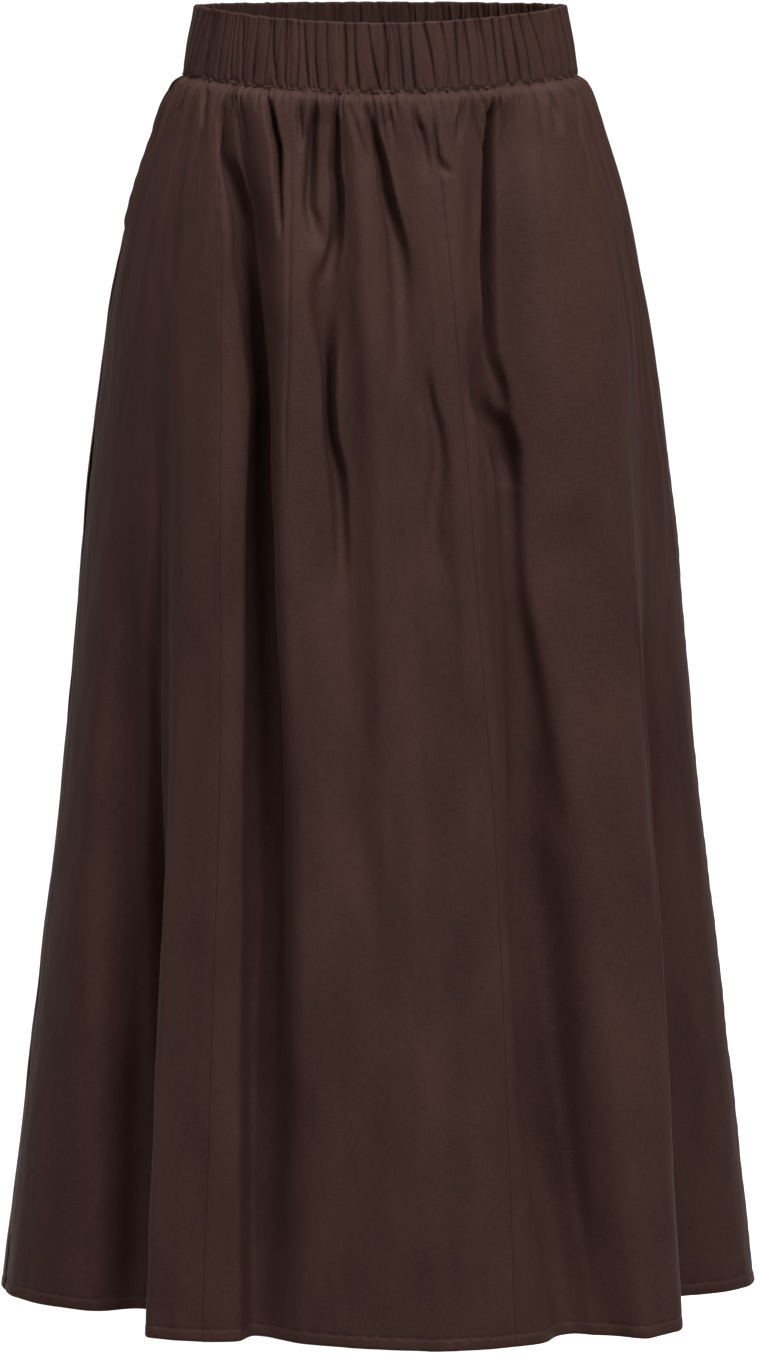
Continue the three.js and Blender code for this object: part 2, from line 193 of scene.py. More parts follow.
def cloth_frame(places, depths):
    """The form on a grid: place in plan, outward and sideways directions, turn, and how long a
    millimetre of the hem is there, from points a little before and after each place."""
    reach = 1.0
    depth = depths[:, None]
    turn, stand = cloth_turn_stand(places, depths)
    before = body_point(depth, *cloth_turn_stand(places - reach, depths))
    after = body_point(depth, *cloth_turn_stand(places + reach, depths))
    x, y = body_point(depth, turn, stand)
    along_x = after[0] - before[0]
    along_y = after[1] - before[1]
    length = np.hypot(along_x, along_y)
    along = np.stack([along_x / length, along_y / length], axis=-1)
    outward = np.stack([along[..., 1], -along[..., 0]], axis=-1)
    plan = np.stack([x, y], axis=-1)
    stretch = length / (2 * reach)
    return {"plan": plan, "along": along, "outward": outward, "turn": turn, "stand": stand, "stretch": stretch}


def soft_noise(across, down, cell_across, cell_down, seed):
    """Smooth random heights: random numbers on a lattice of cells, eased from each to the next."""
    side = 251
    lattice = np.random.default_rng(seed).uniform(-1, 1, (side, side))
    column = across / cell_across
    row = down / cell_down
    i = np.floor(column).astype(int)
    j = np.floor(row).astype(int)
    u = ease(0, 1, column - i)
    v = ease(0, 1, row - j)
    near = lattice[i % side, j % side] * (1 - u) + lattice[(i + 1) % side, j % side] * u
    far = lattice[i % side, (j + 1) % side] * (1 - u) + lattice[(i + 1) % side, (j + 1) % side] * u
    return near * (1 - v) + far * v


# Front creases as seen from the front: depths below the rim, how far the crease runs to the right
# of the middle there, half its width, and how deep it is; a depth below zero stands up. Where its
# right side is softer than its left, that side's half width is given too.
FRONT_CREASES = [
    {"depth": [46, 55, 63, 73, 90, 110, 138, 180, 220, 273, 330, 394, 447, 528, 600, 673, 740, 800, 900],
     "x": [-103, -104, -106, -107, -106, -102, -97, -94, -90, -86, -86, -86, -86, -87, -87, -89, -90, -91, -91],
     "width": [1.4, 1.7, 2, 2.4, 2.7, 3, 3.5, 4, 4.4, 4.9, 5.6, 5.9, 6, 6, 6, 6, 6, 6, 7],
     "right": [1.4, 1.7, 2, 2.4, 2.7, 3, 3.5, 4, 4.4, 4.9, 6, 7, 9, 12, 14, 16, 18, 20, 22],
     "hollow": [3, 4, 6, 8, 10, 12, 15, 20, 25, 28, 29, 28, 27, 27, 26, 25, 23, 20, 14]},
    {"depth": [60, 84, 104, 125, 145], "x": [-106, -105, -103, -100, -97], "width": [3, 3, 3, 3, 3],
     "hollow": [0, 3, 3, 2.5, 0]},
    {"depth": [45, 56, 66, 79], "x": [-116, -118, -119, -120], "width": [1.8, 2.4, 2.6, 2.8], "hollow": [5, 6, 4.5, 0]},
    {"depth": [45, 52, 61, 69, 78], "x": [-129, -131, -134, -138, -142], "width": [1.5, 1.7, 1.8, 1.9, 2],
     "hollow": [3, 4, 3.5, 2.2, 0]},
    {"depth": [50, 57, 67, 77, 91, 103], "x": [-138, -141, -145, -149, -154, -158],
     "width": [1.2, 1.3, 1.4, 1.5, 1.6, 1.8], "hollow": [1.5, 2.4, 2.6, 2.4, 1.8, 0]},
    {"depth": [46, 53, 61, 74, 88, 116, 138, 150], "x": [-78, -76, -74, -72, -69, -68, -67, -67],
     "width": [1.6, 2, 2.3, 2.6, 2.5, 2.2, 1.9, 1.8], "hollow": [3, 7, 12, 15, 15, 11, 5, 0]},
    {"depth": [45, 50, 60, 77, 88], "x": [-55, -55, -55, -54, -53], "width": [1.6, 1.8, 2, 2.1, 2.4],
     "hollow": [4, 5.5, 6, 3.6, 0]},
    {"depth": [46, 62, 76, 104, 124, 140, 158], "x": [-44, -45, -47, -47.5, -48, -45, -41],
     "width": [1.6, 2.4, 3, 3.2, 3.4, 4.4, 6], "hollow": [3, 9, 11, 11, 9, 5, 0]},
    {"depth": [46, 62, 76, 97, 118, 147, 165, 180], "x": [-28, -30, -31, -32, -30, -31, -34, -37],
     "width": [1.5, 1.9, 2.2, 2.8, 3.2, 3.4, 4, 5], "hollow": [3, 7, 9, 12, 13, 12, 7, 0]},
    {"depth": [73, 122, 213, 280, 330], "x": [-61, -60, -61, -63, -63],
     "width": [1.5, 1.5, 1.5, 1.5, 1.5], "hollow": [0, 1.2, 1.2, 1.2, 0]},
    {"depth": [46, 58, 72, 84], "x": [-14, -10, -4, -2], "width": [1.6, 2.2, 2.2, 2.6], "hollow": [1, 4, 3.6, 0]},
    {"depth": [46, 58, 72], "x": [11.5, 8, 3.5], "width": [1.1, 1.1, 1.1], "hollow": [2.6, 2.6, 0]},
    {"depth": [64, 74, 85, 100, 114, 129, 143, 157, 175, 192, 226, 255],
     "x": [-6, -3.5, -1, 2, 4, 7, 10, 12, 13.5, 14, 14, 15],
     "width": [1.4, 2, 2.6, 3, 3.4, 3.8, 4.4, 5.4, 6.2, 6.6, 7, 8],
     "hollow": [0, 4, 11, 13, 14, 13, 11, 9, 6.5, 4.5, 2, 0]},
    {"depth": [52, 58, 72, 86, 104], "x": [-21, -19, -16, -12, -10], "width": [2, 2.2, 2.4, 2.8, 3],
     "hollow": [0, 2, 2.4, 2, 0]},
    {"depth": [165, 180, 195, 206, 223, 239, 259, 282, 296, 309, 326, 356, 392],
     "x": [-37, -38.5, -39, -38.5, -37, -35.5, -35, -34, -32, -30, -28.5, -27, -26],
     "width": [5, 8, 8.5, 7, 5, 3.6, 3, 3.2, 4, 4.6, 4.6, 4.4, 4.5],
     "hollow": [0, 5, 7, 9, 12, 15, 17, 16, 13, 11, 8.5, 5, 0]},
    {"depth": [46, 55, 65, 72, 92, 108], "x": [22, 23, 24, 26, 30, 31],
     "width": [1.4, 1.6, 1.9, 3, 3.6, 4], "hollow": [5, 6.5, 7, 5.5, 3, 0]},
    {"depth": [46, 65, 79, 92, 98, 104], "x": [35, 37, 37, 39, 42, 47],
     "width": [1.3, 1.5, 1.7, 2, 3, 4], "hollow": [2, 2.6, 3, 3.6, 4.6, 0]},
    {"depth": [45, 53, 63], "x": [47, 49, 48], "width": [1.2, 1.4, 1.6], "hollow": [3, 3, 0]},
    {"depth": [45, 56, 70, 85], "x": [55, 55, 53.5, 52], "width": [1.6, 1.9, 2.6, 3], "hollow": [5, 5.5, 3.4, 0]},
    {"depth": [48, 58, 69, 81, 95], "x": [59, 61.5, 64, 69, 75], "width": [1.4, 1.5, 1.6, 1.6, 1.8],
     "hollow": [1, 2.4, 2.6, 2.4, 0]},
    {"depth": [50, 55, 62, 68], "x": [65.5, 68, 72, 74], "width": [1.3, 1.5, 1.6, 1.6], "hollow": [2.5, 3.6, 2.8, 0]},
    {"depth": [45, 56, 66, 81, 95, 137, 166, 203, 218, 233, 250, 268],
     "x": [77, 76, 76, 76, 76.5, 77, 77, 78, 79, 81, 86, 88],
     "width": [1.3, 1.8, 2.4, 2.8, 3.2, 3.7, 4, 4, 3.8, 3.2, 2.8, 3],
     "hollow": [3, 8, 15, 20, 22, 24, 23, 19, 14, 9, 6, 2]},
    {"depth": [44, 52, 62, 70], "x": [84.5, 82, 80, 79], "width": [1.3, 1.4, 1.6, 1.8], "hollow": [3.5, 3.5, 2.4, 0]},
    {"depth": [52, 75, 100], "x": [85, 85.5, 86], "width": [1.1, 1.1, 1.1], "hollow": [0, 1.3, 0]},
    {"depth": [45, 52, 64, 74, 84], "x": [111, 114, 117.5, 119.5, 121], "width": [2.2, 2.8, 3, 3.4, 4],
     "hollow": [4, 5, 5, 3, 0]},
    {"depth": [43, 52, 60, 72, 84, 110, 128], "x": [122, 127, 131, 134, 136, 142, 145],
     "width": [1.8, 2.2, 2.2, 1.9, 1.6, 1.4, 1.3], "hollow": [4, 5.5, 5, 3.6, 2.6, 2, 0]},
    {"depth": [200, 218, 235, 250, 265, 282], "x": [68, 68, 69, 71, 75, 84],
     "width": [5, 8, 11, 13, 13, 9], "hollow": [0, 3, 5, 6.5, 6, 2]},
    {"depth": [240, 256, 279, 299, 319, 339, 386], "x": [31, 32, 37, 39, 38, 36, 42],
     "width": [3, 4, 5, 5.5, 6, 6, 7], "hollow": [0, 4, 5.5, 5.5, 4.5, 4, 0]},
    {"depth": [262, 275, 288, 297, 310, 327, 360, 400, 455, 510, 565],
     "x": [78, 84, 88, 90, 89.5, 90, 91, 94, 103, 110, 121],
     "width": [4, 6, 6.5, 6.5, 6.5, 7, 7.5, 8, 9, 10, 12], "hollow": [2, 7, 10, 11, 10, 9, 8, 7, 5.5, 4, 0]},
    {"depth": [297, 371, 426, 480, 548, 616, 684, 752, 820, 900],
     "x": [-156, -161, -166, -171, -175, -178, -179, -180, -181, -183],
     "width": [4, 6, 8, 10, 11, 12, 12, 12, 12, 12], "hollow": [0, 5, 11, 16, 19, 21, 22, 22, 20, 14]},
    {"depth": [345, 427, 482, 550, 618, 686, 754, 822, 900],
     "x": [-170, -182, -187, -190, -192, -193, -196, -199, -201],
     "width": [8, 14, 19, 22, 24, 24, 24, 24, 24], "hollow": [0, 8, 16, 22, 26, 27, 27, 26, 19]},
    {"depth": [388, 422, 476, 544, 612, 680, 748, 817, 900],
     "x": [97, 98, 100, 102, 104, 108, 116, 128, 138],
     "width": [6, 8, 9, 10, 11, 12, 15, 18, 18], "right": [6, 9, 14, 18, 20, 19, 18, 16, 15],
     "hollow": [0, 5, 10, 16, 20, 23, 24, 23, 14]},
    {"depth": [430, 480, 544, 612, 680, 748, 820, 900],
     "x": [196, 201, 206, 208, 210, 213, 216, 218],
     "width": [6, 8, 10, 11, 11, 11, 11, 11], "hollow": [0, 4, 8, 10, 10, 10, 9, 6]},
    {"depth": [215, 240, 262, 282, 300, 320], "x": [77, 77, 78, 81, 86, 92],
     "width": [5, 8, 10, 10, 8, 6], "hollow": [0, 5, 9, 10, 8, 3]},
    {"depth": [330, 365, 430, 500], "x": [126, 128, 128, 130], "width": [18, 18, 18, 18], "hollow": [0, 3, 3, 0]},
    {"depth": [420, 450, 490, 540], "x": [190, 196, 201, 205], "width": [5, 6, 7, 7], "hollow": [0, 2.5, 2.5, 0]},
    {"depth": [690, 720, 760, 800], "x": [197, 203, 211, 216], "width": [6, 7, 8, 8], "hollow": [0, 2.5, 2.5, 0]},
    {"depth": [250, 279, 313, 366, 420, 454, 500], "x": [48, 49, 51, 53, 57, 59, 62],
     "width": [5, 5, 5, 5, 5, 5, 5], "hollow": [0, -1.6, -2, -2, -1.8, -1.4, 0]},
    {"depth": [250, 301, 401, 538, 675, 800], "x": [163, 167, 173, 184, 191, 199],
     "width": [1.8, 1.8, 1.8, 1.8, 2, 2], "hollow": [0, -1.2, -1.4, -1.4, -1.2, 0]},
]
# Back creases in the same way, seen from behind, where x runs to the left of the middle.
BACK_CREASES = [
    {"depth": [46, 80, 130, 210, 300, 420], "x": [-104, -108, -112, -116, -120, -124],
     "width": [1.6, 2.4, 3, 4, 6, 9], "hollow": [3, 6, 9, 11, 8, 0]},
    {"depth": [46, 66, 100, 140], "x": [-88, -90, -93, -94], "width": [1.6, 2.2, 2.6, 3], "hollow": [4, 6, 4, 0]},
    {"depth": [46, 60, 80, 104], "x": [-74, -73, -72, -70], "width": [1.6, 2, 2.4, 3], "hollow": [3, 5, 3, 0]},
    {"depth": [46, 70, 110, 170, 240, 330], "x": [-56, -58, -60, -64, -66, -70],
     "width": [1.6, 2.4, 3, 3.6, 5, 8], "hollow": [3, 7, 9, 9, 6, 0]},
    {"depth": [46, 62, 90, 120], "x": [-42, -41, -38, -36], "width": [1.5, 2, 2.4, 3], "hollow": [3, 4.5, 3, 0]},
    {"depth": [60, 90, 150, 200], "x": [-28, -26, -26, -28], "width": [2, 2.6, 3, 4], "hollow": [0, 5, 4, 0]},
    {"depth": [46, 66, 100, 150, 210, 300], "x": [-12, -10, -6, -2, 2, 6],
     "width": [1.6, 2.2, 2.8, 3.4, 5, 8], "hollow": [3, 7, 8, 7, 5, 0]},
    {"depth": [46, 60, 84], "x": [4, 6, 8], "width": [1.5, 2, 2.4], "hollow": [3, 4, 0]},
    {"depth": [46, 70, 110, 160], "x": [20, 22, 26, 28], "width": [1.6, 2.4, 3, 4], "hollow": [4, 6, 5, 0]},
    {"depth": [190, 220, 260, 320, 380], "x": [24, 30, 34, 36, 38], "width": [4, 7, 5, 4, 5],
     "hollow": [0, 6, 6, 4, 0]},
    {"depth": [46, 64, 96], "x": [38, 39, 42], "width": [1.5, 2, 2.6], "hollow": [3, 4.5, 0]},
    {"depth": [46, 72, 120, 190, 270, 360, 480], "x": [54, 56, 60, 62, 66, 72, 80],
     "width": [1.6, 2.4, 3, 3.6, 5, 7, 10], "hollow": [3, 7, 10, 11, 9, 6, 0]},
    {"depth": [46, 62, 88], "x": [70, 72, 76], "width": [1.6, 2, 2.6], "hollow": [3, 4, 0]},
    {"depth": [46, 68, 110, 150], "x": [86, 90, 96, 100], "width": [1.6, 2.4, 3, 4], "hollow": [3, 6, 4, 0]},
    {"depth": [46, 76, 130, 220, 330], "x": [106, 112, 120, 126, 132], "width": [1.6, 2.4, 3, 5, 8],
     "hollow": [3, 6, 8, 6, 0]},
    {"depth": [300, 350, 420, 520], "x": [-20, -18, -18, -20], "width": [5, 7, 8, 9], "hollow": [0, 4, 4, 0]},
    {"depth": [420, 500, 620, 760], "x": [-96, -100, -108, -118], "width": [8, 9, 11, 12],
     "hollow": [0, 5, 5, 0]},
    {"depth": [430, 520, 640, 800], "x": [110, 118, 126, 136], "width": [8, 9, 11, 12], "hollow": [0, 5, 5, 0]},
]
PANELS = [
    {"node": "front_side_left", "from": "left side seam", "to": "left front seam", "columns": 150},
    {"node": "front_centre", "from": "left front seam", "to": "right front seam", "columns": 230},
    {"node": "front_side_right", "from": "right front seam", "to": "right side seam", "columns": 220},
    {"node": "back_panel", "from": "right side seam", "to": "left side seam", "columns": 250},
]
SEAM_LINES = ["left side seam", "left front seam", "right front seam", "right side seam"]
SEAM_TUCK = 1.9
SEAM_FREE = 2.6
SEAM_SET = 24.0
CREASE_START = {"share": 0.15, "reach": 20.0}
CLOTH_THICKNESS = 0.5
HEM_TURN = 8.0
HEM_THICKNESS = 1.3
POCKET_MOUTH = {"top": 60.0, "foot": 158.0, "lift": 2.4, "reach": 14.0}
GATHERS = {"count": 132, "least_depth": 0.9, "most_depth": 3.2, "least_reach": 7.0, "most_reach": 60.0}
TICKS = {"pitch": 1.8, "depth": 1.0, "reach": 4.5}
PUFF = {"height": 2.4, "full": 5.0, "gone": 45.0}


def crease_height(turn, depth, rows, side):
    """All creases of one side: each follows its own line down the cloth, and across it lies a
    tuck as deep and as wide as its row says there, smooth between the row's depths."""
    facing = np.cos(np.radians(turn)) * side > 0
    half = half_width(depth)
    line_up = np.arcsin(np.clip(np.sin(np.radians(turn)) * side, -1, 1))
    total = np.zeros_like(turn)
    at = depth[:, 0]
    for row in rows:
        x, width, hollow = (smooth_through(row["depth"], row[name], at)[:, None] for name in ("x", "width", "hollow"))
        right = smooth_through(row["depth"], row.get("right", row["width"]), at)[:, None]
        inside = (at >= row["depth"][0] - 3) & (at <= row["depth"][-1])
        middle = np.arcsin(np.clip(x / half, -1, 1))
        arc = half * np.sqrt(np.cos(middle) ** 2 + (DEPTH_SHARE * np.sin(middle)) ** 2)
        across = (line_up - middle) * arc
        power = np.where(across > 0, np.maximum(1.25, 2.6 * width / right), 2.6)
        total -= hollow * inside[:, None] * tuck(across / np.where(across > 0, right, width), power)
    return total * facing


def waist_arc(turn):
    """Distance round the waist seam from the centre front to a turn, added up in small steps."""
    steps = np.linspace(-200, 460, 6601)
    x, y = body_point(BAND_HEIGHT, steps, 0.0)
    arc = np.concatenate([[0], np.cumsum(np.hypot(np.diff(x), np.diff(y)))])
    return np.interp(turn, steps, arc - np.interp(0, steps, arc))


def gather_height(places, depth, stretch):
    """The gathers: each is a groove that follows one thread down from the waist seam, widens
    and fades; their places, depths and reaches are drawn unevenly. Between them the cloth
    puffs out just under the seam."""
    waist_turn, _ = cloth_turn_stand(places, np.array([BAND_HEIGHT]))
    arc = waist_arc(waist_turn[0])
    rng = np.random.default_rng(11)
    count = GATHERS["count"]
    pitch = (waist_arc(360.0) - waist_arc(0.0)) / count
    start = waist_arc(LINE_TURNS[0, 0])
    number = np.arange(count)
    middles = start + (number + 0.5 + rng.uniform(-0.35, 0.35, count)) * pitch
    depths = rng.uniform(GATHERS["least_depth"], GATHERS["most_depth"], count)
    reaches = GATHERS["least_reach"] * (GATHERS["most_reach"] / GATHERS["least_reach"]) ** rng.uniform(0, 1, count)
    slants = rng.uniform(-0.06, 0.06, count)
    widths = rng.uniform(0.9, 1.6, count)
    below = np.maximum(0, depth - BAND_HEIGHT)
    total = np.zeros_like(stretch)
    for k in range(count):
        spread = widths[k] * (1 + below / 40)
        across = (arc - middles[k] - slants[k] * below) * (1 + below / 160)
        fade = 1 - ease(0.15, 1.0, below / reaches[k])
        total -= depths[k] * fade * bell(across / spread)
    ticks = soft_noise(np.broadcast_to(arc, stretch.shape), depth, TICKS["pitch"], 40.0, 12)
    total += TICKS["depth"] * ticks * bell(below / TICKS["reach"])
    return total + PUFF["height"] * ease(0, PUFF["full"], below) * (1 - ease(PUFF["full"], PUFF["gone"], below))


def crumple_height(places, depth):
    """The poplin's own unevenness: long soft streaks down the cloth and small crushed creases."""
    streaks = 0.8 * soft_noise(places, depth, 17.0, 310.0, 21)
    streaks += 0.1 * soft_noise(places, depth, 6.5, 170.0, 25)
    crushed = 0.55 * soft_noise(places + 0.25 * depth, depth, 16.0, 46.0, 22)
    crushed += 0.5 * soft_noise(places - 0.3 * depth, depth, 21.0, 60.0, 23)
    fine = 0.16 * soft_noise(places, depth, 5.0, 13.0, 24)
    return streaks + crushed + fine


def seam_height(places, depth, stretch):
    """The long seams: a fine groove at each, a raised strip of seam allowance on both sides,
    and small puckers along the stitching."""
    total = np.zeros_like(stretch)
    for line in SEAM_LINES:
        centre = PLACE_OF[line]
        gap = (places - centre + HEM_ROUND / 2) % HEM_ROUND - HEM_ROUND / 2
        across = gap * stretch
        pucker = 0.2 * np.sin(depth / 2.3 + 1.7 * np.sin(depth / 19.0)) * bell(across / 4.5)
        total += 0.22 * (1 - ease(8.5, 10.5, np.abs(across))) - 0.35 * bell(across / 0.6) + pucker
    return total


def hem_height(places, depth):
    """The hem: the turned cloth stands a little proud, the stitch line pulls in 8 mm above the
    edge with small puckers, and the edge rounds off."""
    line = SKIRT_LENGTH - HEM_TURN
    turned = 0.35 * ease(line - 1.5, line + 1.5, depth)
    stitched = -(0.45 + 0.25 * np.sin(places / 1.9 + 2 * np.sin(places / 31.0))) * bell((depth - line) / 1.1)
    pucker = 0.5 * soft_noise(places, depth, 11.0, 400.0, 31) * bell((depth - line) / 13.0)
    edge = -0.6 * ease(SKIRT_LENGTH - 1.2, SKIRT_LENGTH, depth)
    return turned + stitched + pucker + edge


def mouth_height(places, depth, stretch):
    """The pocket mouths: the side front's edge lifts off the seam, and the back's edge sinks."""
    window = ease(POCKET_MOUTH["top"] - 8, POCKET_MOUTH["top"] + 12, depth)
    window = window * (1 - ease(POCKET_MOUTH["foot"] - 12, POCKET_MOUTH["foot"], depth))
    total = np.zeros_like(stretch)
    for line, front_side in (("left side seam", 1), ("right side seam", -1)):
        gap = (places - PLACE_OF[line] + HEM_ROUND / 2) % HEM_ROUND - HEM_ROUND / 2
        across = gap * stretch * front_side
        near = bell(across / POCKET_MOUTH["reach"])
        total += POCKET_MOUTH["lift"] * window * near * np.where(across >= -0.01, 1.0, -0.5)
    return total


def row_depths():
    """Depths of the rows: closest in the gathers and at the hem, wider between them."""
    seam = [44.6, 46.4, 47.2, 48.2, 49.3]
    gathers = np.arange(50.5, 76.0, 1.7)
    hip = np.arange(77.5, 160.0, 2.7)
    thigh = np.arange(163.0, 430.0, 4.4)
    low = np.arange(434.0, 884.0, 6.2)
    hem = [886.0, 888.5, 890.0, 891.0, 891.6, 892.2, 892.8, 893.5, 895.0, 897.3, 898.8, 899.6, 900.0]
    return np.concatenate([seam, gathers, hip, thigh, low, hem])


def column_places(start, end, count):
    """Places of the columns: close beside both seams for the pressed allowance, even between."""
    edge = np.array([0.0, 0.5, 1.1, 2.0, 3.5, 5.5, 7.5, 9.0, 10.5, 12.5])
    middle = np.linspace(start + 15, end - 15, count - 2 * len(edge))
    return np.concatenate([start + edge, middle, end - edge[::-1]])


def grid_normals(points):
    """Outward normals of a grid of points: the cross product of its steps down and across."""
    down = np.gradient(points, axis=0)
    across = np.gradient(points, axis=1)
    normal = np.cross(down, across)
    return normal / np.linalg.norm(normal, axis=-1, keepdims=True)


def shell_object(name, outer, inner, threads, material):
    """A closed shell between two grids, outer and inner: both faces and the four edges between
    them, with a UV map of the thread's places in metres."""
    rows, columns = outer.shape[:2]
    number = np.arange(rows * columns).reshape(rows, columns)
    behind = number + rows * columns

    def quads(a, b, c, d):
        return np.stack([a, b, c, d], axis=-1).reshape(-1, 4)

    faces = np.concatenate([
        quads(number[:-1, :-1], number[1:, :-1], number[1:, 1:], number[:-1, 1:]),
        quads(behind[:-1, :-1], behind[:-1, 1:], behind[1:, 1:], behind[1:, :-1]),
        quads(number[:-1, 0], behind[:-1, 0], behind[1:, 0], number[1:, 0]),
        quads(number[:-1, -1], number[1:, -1], behind[1:, -1], behind[:-1, -1]),
        quads(number[0, :-1], number[0, 1:], behind[0, 1:], behind[0, :-1]),
        quads(number[-1, :-1], behind[-1, :-1], behind[-1, 1:], number[-1, 1:]),
    ])
    points = np.concatenate([outer.reshape(-1, 3), inner.reshape(-1, 3)]) * MM
    both = np.concatenate([threads.reshape(-1, 2), threads.reshape(-1, 2)]) * MM
    return mesh_object(name, points, faces, material, both)


def mesh_object(name, points, faces, material, threads=None):
    """A mesh object of equal-sided faces from whole arrays, shaded smooth."""
    sides = faces.shape[1]
    mesh = bpy.data.meshes.new(name)
    mesh.vertices.add(len(points))
    mesh.vertices.foreach_set("co", points.astype(np.float32).ravel())
    mesh.loops.add(faces.size)
    mesh.loops.foreach_set("vertex_index", faces.astype(np.int32).ravel())
    mesh.polygons.add(len(faces))
    mesh.polygons.foreach_set("loop_start", np.arange(0, faces.size, sides, dtype=np.int32))
    mesh.polygons.foreach_set("use_smooth", np.ones(len(faces), bool))
    mesh.update(calc_edges=True)
    mesh.validate()
    if threads is not None:
        layer = mesh.uv_layers.new(name="threads")
        layer.data.foreach_set("uv", threads[faces.ravel()].astype(np.float32).ravel())
    mesh.materials.append(material)
    piece = bpy.data.objects.new(name, mesh)
    bpy.context.scene.collection.objects.link(piece)
    return piece


def plain_weave(name, colour, roughness, thread, relief):
    """Plain weave on the thread map: two sets of ridges for warp and weft, slubs along both as
    faint light and dark, a cloudy unevenness, a small bump, and a soft sheen."""
    material = bpy.data.materials.new(name)
    material.use_nodes = True
    nodes = material.node_tree.nodes
    links = material.node_tree.links
    surface = nodes["Principled BSDF"]
    surface.inputs["Roughness"].default_value = roughness
    surface.inputs["Specular IOR Level"].default_value = 0.07
    surface.inputs["Sheen Weight"].default_value = 0.01
    surface.inputs["Sheen Roughness"].default_value = 0.45
    surface.inputs["Sheen Tint"].default_value = (0.75, 0.55, 0.5, 1)
    threads = nodes.new("ShaderNodeUVMap")
    threads.uv_map = "threads"

    def combined(operation, first, second):
        node = nodes.new("ShaderNodeMath")
        node.operation = operation
        links.new(first, node.inputs[0])
        links.new(second, node.inputs[1])
        return node.outputs["Value"]

    def thread_ridges(direction):
        wave = nodes.new("ShaderNodeTexWave")
        wave.bands_direction = direction
        wave.inputs["Scale"].default_value = 0.314 / thread
        wave.inputs["Distortion"].default_value = 0.6
        wave.inputs["Detail"].default_value = 1.0
        wave.inputs["Detail Scale"].default_value = 0.5
        links.new(threads.outputs["UV"], wave.inputs["Vector"])
        return wave.outputs["Fac"]

    def noise(scales, detail):
        along = nodes.new("ShaderNodeMapping")
        along.inputs["Scale"].default_value = scales
        links.new(threads.outputs["UV"], along.inputs["Vector"])
        texture = nodes.new("ShaderNodeTexNoise")
        texture.inputs["Scale"].default_value = 1.0
        texture.inputs["Detail"].default_value = detail
        links.new(along.outputs["Vector"], texture.inputs["Vector"])
        return texture.outputs["Fac"]

    weave = combined("MULTIPLY", thread_ridges("X"), thread_ridges("Y"))
    slubs = combined("ADD", noise((1500.0, 160.0, 1.0), 3.0), noise((160.0, 1500.0, 1.0), 3.0))
    cloudy = noise((30.0, 9.0, 1.0), 2.0)
    share = nodes.new("ShaderNodeMapRange")
    share.inputs["From Min"].default_value = 1.12
    share.inputs["From Max"].default_value = 1.88
    links.new(combined("ADD", slubs, cloudy), share.inputs["Value"])
    shade = nodes.new("ShaderNodeValToRGB")
    shade.color_ramp.elements[0].color = (*[0.70 * c for c in colour], 1)
    shade.color_ramp.elements[1].color = (*[1.30 * c for c in colour], 1)
    links.new(share.outputs["Result"], shade.inputs["Fac"])
    links.new(shade.outputs["Color"], surface.inputs["Base Color"])
    bump = nodes.new("ShaderNodeBump")
    bump.inputs["Strength"].default_value = relief
    bump.inputs["Distance"].default_value = 0.00008
    links.new(combined("ADD", weave, slubs), bump.inputs["Height"])
    links.new(bump.outputs["Normal"], surface.inputs["Normal"])
    return material


poplin = plain_weave("poplin", (0.050, 0.0238, 0.0194), 0.62, 0.00042, 0.5)


def cloth_surface(places, depths):
    """The cloth's outer face on a grid: the form moved out by all creases, gathers, seams and
    the hem; at the waist seam it is held flat just behind the waistband's foot."""
    form = cloth_frame(places, depths)
    depth = np.broadcast_to(depths[:, None], form["turn"].shape)
    place = np.broadcast_to(places[None, :], form["turn"].shape)
    height = crease_height(form["turn"], depth, FRONT_CREASES, 1)
    height += crease_height(form["turn"], depth, BACK_CREASES, -1)
    started = ease(BAND_HEIGHT, BAND_HEIGHT + CREASE_START["reach"], depth)
    height *= CREASE_START["share"] + (1 - CREASE_START["share"]) * started
    height += gather_height(places, depth, form["stretch"]) + crumple_height(place, depth)
    height += seam_height(place, depth, form["stretch"]) + hem_height(place, depth)
    height += mouth_height(place, depth, form["stretch"])
    free = ease(BAND_HEIGHT - 0.5, BAND_HEIGHT + SEAM_FREE, depth)
    height = height * free - SEAM_TUCK * (1 - free)
    height -= np.minimum(form["stand"], 0) * (1 - ease(BAND_HEIGHT, BAND_HEIGHT + SEAM_SET, depth))
    plan = form["plan"] + form["outward"] * height[..., None]
    return np.dstack([plan, -depth - rim_dip(form["turn"], depth)]), np.dstack([place, depth])


def panel_piece(row):
    """One panel: its grid of the cloth, and the inner face a cloth's thickness behind it."""
    start = PLACE_OF[row["from"]]
    end = PLACE_OF[row["to"]]
    if end <= start:
        end += HEM_ROUND
    depths = row_depths()
    outer, threads = cloth_surface(column_places(start, end, row["columns"]), depths)
    turned = ease(SKIRT_LENGTH - HEM_TURN - 1, SKIRT_LENGTH - HEM_TURN, threads[..., 1])
    inward = CLOTH_THICKNESS + (HEM_THICKNESS - CLOTH_THICKNESS) * turned
    inner = outer - grid_normals(outer) * inward[..., None]
    inner[-1, :, 2] = outer[-1, :, 2]
    panel = shell_object("cloth_" + row["node"], outer, inner, threads, poplin)
    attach(panel, "root")
    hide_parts(row["node"])


for panel_row in PANELS:
    panel_piece(panel_row)


